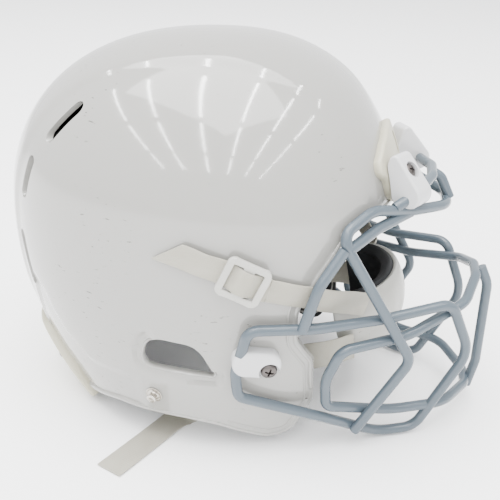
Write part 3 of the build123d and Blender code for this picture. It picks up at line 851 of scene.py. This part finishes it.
@dataclass
class Fasteners:
    """Pan-head screws with cross recesses, and the bare snap studs."""

    jaw: tuple = (31.5, 75.0)
    stud: tuple = (-43.5, 41.0)
    clip_origin: tuple = (112.0, -44.0, 175.0)
    clip_turn: float = -28.0

    def axis(self, at: tuple[float, float]) -> tuple[np.ndarray, np.ndarray]:
        """A flank point and the outward normal there."""
        point = FORM.flank(*at)
        return point, FORM.at(point)[1][0]

    def clip_screw(self) -> tuple[np.ndarray, np.ndarray]:
        """Where the brow clip's screw head sits, and its direction."""
        turn = math.radians(self.clip_turn)
        a, b = np.array([math.cos(turn), math.sin(turn), 0]), np.array([0, 0, 1.0])
        return np.array(self.clip_origin) - a * 5.5 + b * 14, unit(a * 0.82 + b * 0.57)

    def nape_screw(self) -> tuple[np.ndarray, np.ndarray]:
        """The nape screw's seat on the shell, and its direction."""
        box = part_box("nape_bumper_screws")
        LOG.info("nape screws at %s", box)
        turn = -math.radians(155)
        nape = math.sqrt(1 - ((26 - 134) / 179) ** 2)
        flank = math.sqrt(1 - ((26 - 134) / 250) ** 2)
        point = np.array([-22.5 + math.cos(turn) * 153 * nape, math.sin(turn) * 116 * flank, 26])
        return point, unit([point[0] + 22.5, point[1] * 1.3, -20])

    def head(self, name: str, seat: tuple[np.ndarray, np.ndarray], radius: float, low: float, high: float, node: str) -> None:
        """One pair of screws in place of its node.

        Args:
            name: the object's name.
            seat: origin and direction.
            radius: head radius.
            low: underside of the head along the direction.
            high: top of the head.
            node: the CAD node it stands for.
        """
        origin, direction = seat
        bm = Forge.lathe(screw_profile(radius, low, high), origin, direction)
        shank = Forge.lathe([(0, low - 8), (radius * 0.45, low - 8), (radius * 0.45, low + 0.2), (0, low + 0.2)], origin, direction)
        obj = Forge.finish(bm, name)
        helper = unit(np.cross(direction, [0.2, 0.3, 1.0]))
        other = np.cross(direction, helper)
        for a, b in ((helper, other), (other, -helper)):
            w, l = radius * 0.11, radius * 0.56
            bar = rounded([(-l, -w), (l, -w), (l, w), (-l, w)], [w * 0.6] * 4, step=0.3)
            Forge.cut(obj, Forge.prism(bar, origin, a, b, high - (high - low) * 0.62, high + 1))
        mesh = bmesh.new()
        mesh.from_mesh(obj.data)
        whole = Forge.join([mesh, shank])
        bpy.data.objects.remove(obj)
        single(Forge.join([whole, Forge.mirrored(whole)]), name, Looks.SCREW, "screw_steel", "helmet", node)

    def build(self) -> None:
        """Makes the visible fasteners and colours the rest."""
        self.head("look_jaw_clip_screws", self.axis(self.jaw), 5.25, 6.6, 10.0, "jaw_clip_screws")
        self.head("look_top_clip_screws", self.clip_screw(), 4.5, 0.0, 3.0, "top_clip_screws")
        self.head("look_nape_bumper_screws", self.nape_screw(), 4.5, 5.4, 7.6, "nape_bumper_screws")
        origin, direction = self.axis(self.stud)
        profile = [(0, -3), (2.1, -3), (2.1, 0.2), (5.5, 0.2), (5.75, 0.4), (5.75, 0.8), (5.5, 1.0), (4.6, 1.0), (4.3, 0.7),
                   (3.2, 0.7), (2.7, 1.0), (2.45, 1.6), (2.45, 3.7), (2.7, 4.1), (3.2, 4.3), (3.3, 4.6), (3.2, 5.0), (2.7, 5.35),
                   (1.6, 5.45), (1.3, 5.1), (0, 5.0)]
        stud = Forge.lathe(profile, origin, direction, 48)
        single(Forge.join([stud, Forge.mirrored(stud)]), "look_lower_snap_studs", Looks.STUD, "stud_nickel", "helmet", "lower_snap_studs")
        for node, finish, slot in (("upper_snap_studs", Looks.STUD, "stud_nickel"), ("jaw_t_nuts", Looks.SCREW, "screw_steel"),
                                   ("top_clip_nuts", Looks.SCREW, "screw_steel")):
            LOOKS.put(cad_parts[node], finish, slot)


# ---------------------------------------------------------------- clips
@dataclass
class Clips:
    """The white mouldings that hold the mask."""

    plate_centre: Point = (25.5, -110.5, 79.0)
    plate_size: tuple = (31.0, 18.0)
    sleeve_centre: Point = (16.9, -116.4, 86.0)
    sleeve_axis: Point = (0.21, -0.07, 1.0)

    def build(self) -> None:
        """Makes the jaw clips; the brow clips keep their modelled form."""
        normal = unit(np.array([0.30, -0.95, 0]))
        a = unit(np.array([0.95, 0.30, -0.12]))
        b = np.cross(normal, a)
        half = np.array(self.plate_size) / 2
        outline = rounded([(-half[0], -half[1]), (half[0], -half[1]), (half[0], half[1]), (-half[0], half[1])], [8.5] * 4, step=0.8)
        centre = np.array(self.plate_centre)
        radius = np.linalg.norm(outline, axis=1)

        def place(share: np.ndarray, height: np.ndarray) -> np.ndarray:
            flat = outline * np.asarray(share)[:, None]
            return centre + a * flat[:, :1] + b * flat[:, 1:] + normal * np.asarray(height)[:, None]

        plate = Forge.patch(place, radius, -6.5, 6.4, 2.6, rings=10, swell=0.5)
        barrel = [(0, -10.3), (5.2, -10.3), (6.4, -10.0), (7.1, -9.2), (7.3, -8.0), (7.3, 8.0), (7.1, 9.2), (6.4, 10.0), (5.2, 10.3), (0, 10.3)]
        sleeve = Forge.lathe(barrel, np.array(self.sleeve_centre), np.array(self.sleeve_axis), 48)
        seat, way = Fasteners().axis(Fasteners.jaw)
        bore = Forge.lathe([(0, 6.2), (6.4, 6.2), (7.2, 14), (0, 14)], seat, way)
        clip = Forge.carve(Forge.join([plate, sleeve]), bore)
        both_sides(clip, "jaw_clip", Looks.CLIP, "clip_nylon")
        for side in ("right", "left"):
            LOOKS.put(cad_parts[f"top_clip_{side}"], Looks.CLIP, "clip_nylon")


# ---------------------------------------------------------------- straps and buckles
@dataclass
class Straps:
    """Webbing and the snap buckles that hold it."""

    width: float = 16.0
    low_width: float = 20.0
    thick: float = 1.5
    stud_at: tuple = (16.5, 136.5)
    slope: float = -24.5
    buckle_lift: float = 3.9

    def ribbon(self, stations: Sequence[tuple], width: float, slant: float = 0.0, step: float = 1.6) -> bmesh.types.BMesh:
        """Webbing along stations.

        Args:
            stations: (centre, width direction) pairs.
            width: the webbing's width.
            slant: how far the first end is cut on the slant, at its edge.
            step: spacing of the rings.

        Returns:
            A closed mesh with coordinates along its length.
        """
        centre = np.array([s[0] for s in stations], float)
        length = float(np.linalg.norm(np.diff(centre, axis=0), axis=1).sum())
        count = max(8, int(length / step))
        path = spline(centre, count)
        across = spline([unit(s[1]) for s in stations], count)
        run = unit(np.gradient(path, axis=0))
        across = unit(across - run * np.sum(across * run, axis=1, keepdims=True))
        normal = np.cross(run, across)
        turns = np.linspace(0, 2 * math.pi, 29)[:-1]
        wide = np.sign(np.cos(turns)) * np.abs(np.cos(turns)) ** 0.35 * width / 2
        high = np.sign(np.sin(turns)) * np.abs(np.sin(turns)) ** 0.7 * self.thick / 2
        at = path[:, None] + across[:, None] * wide[None, :, None] + normal[:, None] * high[None, :, None]
        if slant:
            fade = np.clip(1 - np.arange(count) * step / 24, 0, 1)
            at = at + run[:, None] * (slant * (wide / width + 0.5))[None, :, None] * fade[:, None, None]
        along = np.append(np.arange(count), count) * step
        uv = np.stack(np.meshgrid(along * MM, np.append(wide, wide[0]) * MM, indexing="ij"), axis=-1)
        bm = Forge.lattice(at, close_b=True, uv=uv)
        bmesh.ops.holes_fill(bm, edges=[e for e in bm.edges if e.is_boundary], sides=0)
        return bm

    def buckle_frame(self) -> tuple[np.ndarray, np.ndarray, np.ndarray, np.ndarray]:
        """The buckle's origin on its underside, and its along, across and outward axes."""
        point = FORM.flank(*self.stud_at)
        out = FORM.at(point)[1][0]
        s = math.radians(self.slope)
        along = np.array([math.cos(s), 0.10 * math.cos(s), math.sin(s)])
        along = unit(along - out * (along @ out))
        return point + out * self.buckle_lift, along, np.cross(out, along), out

    def buckle(self) -> bmesh.types.BMesh:
        """A ladder-lock frame with a snap socket under its middle bar."""
        origin, along, across, out = self.buckle_frame()
        xs, ys = (-14.0, -9.8, -3.6, 3.6, 9.8, 14.0), (-13.0, -9.0, 9.0, 13.0)
        bm = bmesh.new()
        bmesh.ops.create_grid(bm, x_segments=5, y_segments=3, size=0.5)
        for v in bm.verts:
            v.co = Vector((xs[round((v.co.x + 0.5) * 5)], ys[round((v.co.y + 0.5) * 3)], 0)) * MM
        windows = [f for f in bm.faces if 4 * MM < abs(f.calc_center_median().x) < 9 * MM and abs(f.calc_center_median().y) < MM]
        bmesh.ops.delete(bm, geom=windows, context="FACES_ONLY")
        made = bmesh.ops.extrude_face_region(bm, geom=bm.faces[:], use_keep_orig=True)
        bmesh.ops.translate(bm, vec=(0, 0, 3.4 * MM), verts=[g for g in made["geom"] if isinstance(g, bmesh.types.BMVert)])
        bmesh.ops.recalc_face_normals(bm, faces=bm.faces)
        upright = [e for e in bm.edges if abs(e.verts[0].co.x) > 13.9 * MM and abs(e.verts[0].co.y) > 12.9 * MM
                   and abs(e.verts[0].co.z - e.verts[1].co.z) > 3 * MM]
        bmesh.ops.bevel(bm, geom=upright, offset=4.5 * MM, segments=7, affect="EDGES", profile=0.5, material=-1)
        sharp = [e for e in bm.edges if e.is_manifold and e.calc_face_angle() > 0.6]
        bmesh.ops.bevel(bm, geom=sharp, offset=0.75 * MM, segments=3, affect="EDGES", profile=0.5, material=-1)
        turn = Matrix([[*row] for row in np.stack([along, across, out], axis=1)]).to_4x4()
        bmesh.ops.transform(bm, matrix=Matrix.Translation(Vector(origin) * MM) @ turn, verts=bm.verts)
        cup = [(3.7, -3.0), (6.2, -3.0), (6.5, -2.7), (6.5, 0.4), (0, 0.4), (0, -0.4), (3.7, -0.4), (3.7, -3.0)]
        return Forge.join([bm, Forge.lathe(cup, origin, out)])

    def build(self) -> None:
        """Makes the buckles and every run of webbing."""
        both_sides(self.buckle(), "buckle", Looks.BUCKLE, "buckle_acetal", "buckle_{side}")
        origin, along, across, out = self.buckle_frame()

        def local(x: float, h: float) -> np.ndarray:
            return origin + along * x + out * h

        lie = np.array([0.42, 0, 1.0])
        weave = [(local(17, -1.2), across), (local(11.5, -0.4), across), (local(6.6, 1.6), across), (local(2.6, 4.3), across),
                 (local(-2.6, 4.3), across), (local(-6.6, 1.6), across), (local(-11.5, -0.5), across)]
        tail = [*weave, (FORM.flank(-8, 145.6, 3.6), (0.34, 0, 1)), (FORM.flank(-22, 149.6, 2.6), (0.3, 0, 1)),
                (FORM.flank(-37, 153.2, 2.2), (0.3, 0, 1))]
        both_sides(self.ribbon(tail[::-1], self.width, slant=17.0), "upper_strap_tail", Looks.STRAP, "strap_webbing", "buckle_{side}")
        rear = [(local(16.5, -1.2), lie), (FORM.flank(36, 128.4, 3.2), lie), (FORM.flank(45, 125.2, 2.8), lie), (FORM.flank(54.5, 122.1, 2.4), lie)]
        front = [(FORM.flank(54.0, 122.3, 2.4), lie), ((67, -88.0, 115.0), (0.35, 0.1, 1)), ((79, -69.0, 106.0), (0.2, 0.1, 1)),
                 ((89, -52.0, 97.0), (0.1, 0.1, 1))]
        lower = [((83, -56.0, 66.5), (0, 0, 1)), ((66, -66.0, 64.0), (0, 0, 1)), ((46, -70.0, 59.0), (-0.3, 0, 1)),
                 ((12, -71.0, 41.0), (-0.5, 0, 1)), ((-12, -70.0, 22.0), (-0.6, -0.3, 0.7)), ((-28, -71.0, 7.5), (-0.9, 0.2, 0.45)),
                 ((-38, -79.0, 1.9), (-0.92, 0.39, 0.05)), ((-50, -105.0, 0.85), (-0.918, 0.395, 0)), ((-65, -140.0, 0.85), (-0.918, 0.395, 0))]
        self.bent(rear, "upper_strap_rear", rear[3][0], rear[0][0], self.width)
        self.bent(front, "upper_strap_front", front[0][0], front[3][0], self.width)
        self.bent(lower, "lower_strap", lower[3][0], lower[0][0], self.low_width)

    def bent(self, stations: Sequence[tuple], stem: str, start: Sequence[float], end: Sequence[float],
             width: float) -> None:
        """Webbing along stations, left unattached, with its transform baked into its mesh.

        Args:
            stations: (centre, width direction) pairs.
            stem: the CAD nodes' name without the side.
            start: not used.
            end: not used.
            width: the webbing's width.
        """
        for obj, side in zip(both_sides(self.ribbon(stations, width), stem, Looks.STRAP, "strap_webbing", None), ("right", "left")):
            sign = np.array([1, 1 if side == "right" else -1, 1]) * MM
            tuple(np.array(start) * sign)
            tuple(np.array(end) * sign)
            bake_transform(obj)


# ---------------------------------------------------------------- chin cup
@dataclass
class ChinCup:
    """A moulded egg-shaped cup with holes, lined with foam."""

    centre: Point = (72.0, 0.0, 80.0)
    reach: Point = (43.0, 55.0, 45.0)
    wall: float = 3.2
    pad: float = 9.0
    tilt: float = 12.0
    trim: float = -14.0

    def axes(self, degrees: float) -> np.ndarray:
        """Columns: the X, Y and Z axes turned about Y."""
        c, s = math.cos(math.radians(degrees)), math.sin(math.radians(degrees))
        return np.array([[c, 0, s], [0, 1, 0], [-s, 0, c]])

    def layer(self, grow: float, thick: float, top: float, edge: float, swell: float = 0.0) -> bmesh.types.BMesh:
        """A layer of the cup.

        Args:
            grow: how far its outer face stands outside the cup's outer face.
            thick: its thickness, inwards.
            top: height of its top edge in the trimming frame.
            edge: radius of its rounded edge.
            swell: extra thickness in the middle.

        Returns:
            A closed mesh.
        """
        egg, cut = self.axes(self.tilt), self.axes(self.trim)
        spokes = np.linspace(0, 2 * math.pi, 181)[:-1]
        reach = np.array(self.reach) + grow - thick / 2

        def way(angle: np.ndarray) -> np.ndarray:
            local = np.stack([np.cos(angle), np.sin(angle) * np.cos(spokes), np.sin(angle) * np.sin(spokes)], axis=-1)
            return local @ cut.T

        def far(direction: np.ndarray) -> np.ndarray:
            return 1 / np.sqrt(np.sum(((direction @ egg) / reach) ** 2, axis=-1))

        low, high = np.zeros(len(spokes)), np.full(len(spokes), math.pi * 0.97)
        for _ in range(40):
            mid = (low + high) / 2
            d = way(mid)
            local = (d * far(d)[:, None]) @ cut
            inside = np.exp(-(local[:, 0] + 3) / 2.5) + np.exp((local[:, 2] - top) / 2.5) < 1
            low, high = np.where(inside, mid, low), np.where(inside, high, mid)
        limit = low

        def place(share: np.ndarray, height: np.ndarray) -> np.ndarray:
            d = way(limit * np.asarray(share))
            base = d * far(d)[:, None]
            normal = unit((base @ egg) / reach**2) @ egg.T
            return np.array(self.centre) + base + normal * np.asarray(height)[:, None]

        return Forge.patch(place, limit * 47, -thick / 2 - swell, thick / 2, edge, rings=30)

    def build(self) -> None:
        """Makes the cup and its foam."""
        cup = single(self.layer(0, self.wall, 17, 1.3), "look_chin_cup_shell", Looks.CUP, "cup_polycarbonate", "chin_cup", "chin_cup_shell")
        diamond = rounded([(-5.5, 0), (0, -3.2), (5.5, 0), (0, 3.2)], [1, 1, 1, 1], step=0.4)
        disc = rounded([(-3, -3), (3, -3), (3, 3), (-3, 3)], [2.95] * 4, step=0.4)
        tools = []
        for turn, height, shape in ((0, 92, diamond), (-48, 76, disc), (48, 76, disc), (-62, 62, disc), (62, 62, disc), (0, 60, disc),
                                    (-30, 52, disc), (30, 52, disc)):
            out = np.array([math.cos(math.radians(turn)), math.sin(math.radians(turn)), 0])
            a = np.array([-out[1], out[0], 0])
            tools.append(Forge.prism(shape, np.array([self.centre[0], 0, height]), a, np.array([0, 0, 1.0]), 22, 66))
        Forge.cut(cup, Forge.join(tools))
        pad = single(self.layer(-self.wall - 0.1, self.pad, 17.5, 3.4), "look_chin_cup_pad", Looks.FOAM, "cup_foam", "chin_cup", "chin_cup_pad")


# ---------------------------------------------------------------- padding
@dataclass
class Padding:
    """Knit-covered foam cushions on the dome's inside, and the absorbers behind them."""

    thick: float = 14.0

    def cushion(self, aim: Point, along: float, across: float, outer: float, inner: float) -> bmesh.types.BMesh:
        """A pillow that follows the dome.

        Args:
            aim: the surface point that its middle is under.
            along: half its size in the horizontal direction.
            across: half its size in the other direction.
            outer: depth of its back face below the dome's surface.
            inner: depth of its front face.

        Returns:
            A closed mesh.
        """
        d = unit(np.array(aim) - np.array(FORM.centre))
        side = unit(np.cross([0, 0, 1.0], d)) if abs(d[2]) < 0.9 else np.array([0, 1.0, 0])
        up = np.cross(d, side)
        turns = np.linspace(0, 2 * math.pi, 121)[:-1]
        a = np.sign(np.cos(turns)) * np.abs(np.cos(turns)) ** 0.45 * along
        b = np.sign(np.sin(turns)) * np.abs(np.sin(turns)) ** 0.45 * across
        radius = np.hypot(a, b)
        start = FORM.at(np.array(aim))[0][0]

        def place(share: np.ndarray, height: np.ndarray) -> np.ndarray:
            flat = start + side * (a * share)[:, None] + up * (b * share)[:, None]
            base, normal = FORM.at(flat)
            return base - normal * (outer + np.asarray(height))[:, None]

        return Forge.patch(place, radius, 0.0, (inner - outer) * 0.72, (inner - outer) * 0.5, rings=16, swell=(inner - outer) * 0.28)

    def build(self) -> None:
        """Makes every cushion and colours the absorbers."""
        middle = {
            "front_pad": ((85, 0, 196), 56, 22, 19, 31),
            "crown_pad": ((-8, 0, 262), 58, 76, 17, 31),
            "rear_pad": ((-170, 0, 135), 62, 66, 17, 31),
            "nape_pad": ((-150, 0, 36), 52, 20, 17, 31),
        }
        for node, (aim, along, across, outer, inner) in middle.items():
            pad = single(self.cushion(aim, along, across, outer, inner), f"look_{node}", Looks.LINER, "liner_fabric", "helmet", node)
        side = self.cushion((-23, -116, 160), 64, 50, 17, 31)
        jaw = self.cushion((27, -108, 62), 23, 35, 4.5, 17)
        for bm, stem in ((side, "side_pad"), (jaw, "jaw_pad")):
            for pad in both_sides(bm, stem, Looks.LINER, "liner_fabric"):
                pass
        LOOKS.put(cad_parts["shock_pods"], Looks.POD, "pod_tpu")


# ---------------------------------------------------------------- studio
@dataclass
class Studio:
    """A plain pale floor, soft light and the camera."""

    position: Point = (0.0958, -0.5032, 0.3305)
    right: Point = (0.9797, 0.1994, 0.0222)
    up: Point = (-0.1003, 0.3907, 0.9150)
    back: Point = (0.1737, -0.8986, 0.4028)
    lens: float = 53.76

    def lamp(self, name: str, at: Point, aim: Point, size: tuple[float, float], power: float) -> None:
        """A soft rectangular lamp.

        Args:
            name: its name.
            at: where it hangs.
            aim: what it faces.
            size: width and height in metres.
            power: watts.
        """
        data = bpy.data.lights.new(name, "AREA")
        data.shape, data.size, data.size_y, data.energy = "RECTANGLE", size[0], size[1], power
        lamp = bpy.data.objects.new(name, data)
        bpy.context.scene.collection.objects.link(lamp)
        lamp.location = at
        lamp.rotation_euler = (Vector(aim) - Vector(at)).to_track_quat("-Z", "Y").to_euler()

    def build(self) -> None:
        """Sets up the floor, lights, world and camera."""
        bm = bmesh.new()
        bmesh.ops.create_grid(bm, x_segments=1, y_segments=1, size=6.0)
        bmesh.ops.translate(bm, vec=(0, 0, -0.0004), verts=bm.verts)
        floor = Forge.finish(bm, "floor")
        floor.data.materials.append(Finish("floor_matt_paper", "#FBFBFB", 0.9).build())
        world = bpy.data.worlds.new("studio")
        bpy.context.scene.world = world
        world.use_nodes = True
        shade = world.node_tree.nodes["Background"]
        shade.inputs["Color"].default_value = linear("#F6F7F8")
        shade.inputs["Strength"].default_value = 2.5
        self.lamp("ceiling_softbox", (-0.3, -0.3, 3.2), (0, 0, 0.1), (3.4, 2.6), 230)
        for row in range(6):
            x = -1.9 + row * 0.72
            for part in range(3):
                y = -3.4 + part * 1.5
                self.lamp(f"tube_{row}_{part}", (x, y, 2.1), (x, y, 0), (0.035, 1.3), 11.0)
        data = bpy.data.cameras.new("camera")
        camera = bpy.data.objects.new("camera", data)
        bpy.context.scene.collection.objects.link(camera)
        data.sensor_width, data.lens, data.clip_start, data.clip_end = 36.0, self.lens, 0.01, 20.0
        turn = Matrix([self.right, self.up, self.back]).transposed().to_4x4()
        camera.matrix_world = Matrix.Translation(self.position) @ turn
        bpy.context.scene.camera = camera


def main() -> None:
    """Builds the whole helmet."""
    logging.basicConfig(level=logging.INFO)
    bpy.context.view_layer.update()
    for part in (Shell(), Bumpers(), Fasteners(), Clips(), Straps(), ChinCup(), Padding(), Studio()):
        LOG.info("building %s", type(part).__name__)
        part.build()
    Mask().dress()


if __name__ == "__main__":
    main()
